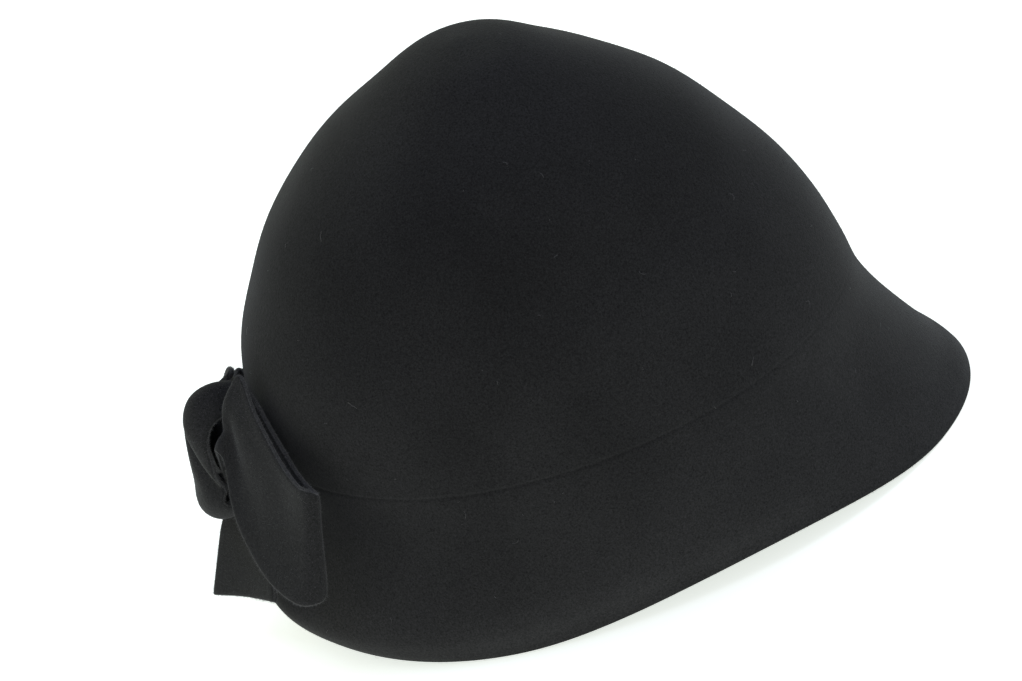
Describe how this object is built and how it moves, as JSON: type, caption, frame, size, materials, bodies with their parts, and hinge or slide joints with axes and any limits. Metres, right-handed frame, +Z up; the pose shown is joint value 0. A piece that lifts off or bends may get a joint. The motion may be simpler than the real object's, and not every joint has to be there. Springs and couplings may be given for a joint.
{
  "type": "cloche hat",
  "caption": "Black wool felt cloche: a hollow bell-shaped crown flowing into a turned-down brim, longer in front, with a drooping felt bow at the back.",
  "frame": {"origin": "on the surface that the hat stands on, under the middle of the hat and bow", "axes": "+Z up, -Y towards the front of the hat, -X towards the wearer's right"},
  "size_m": [0.1762, 0.2698, 0.175],
  "materials": {
    "hood_felt": "matte black wool felt with a short nap",
    "bow_felt": "matte black wool felt, cut edges left raw"
  },
  "bodies": {
    "root": {"hood": "hood_felt", "bow_loop_right": "bow_felt", "bow_loop_left": "bow_felt", "bow_knot": "bow_felt", "bow_tail": "bow_felt"}
  },
  "joints": []
}
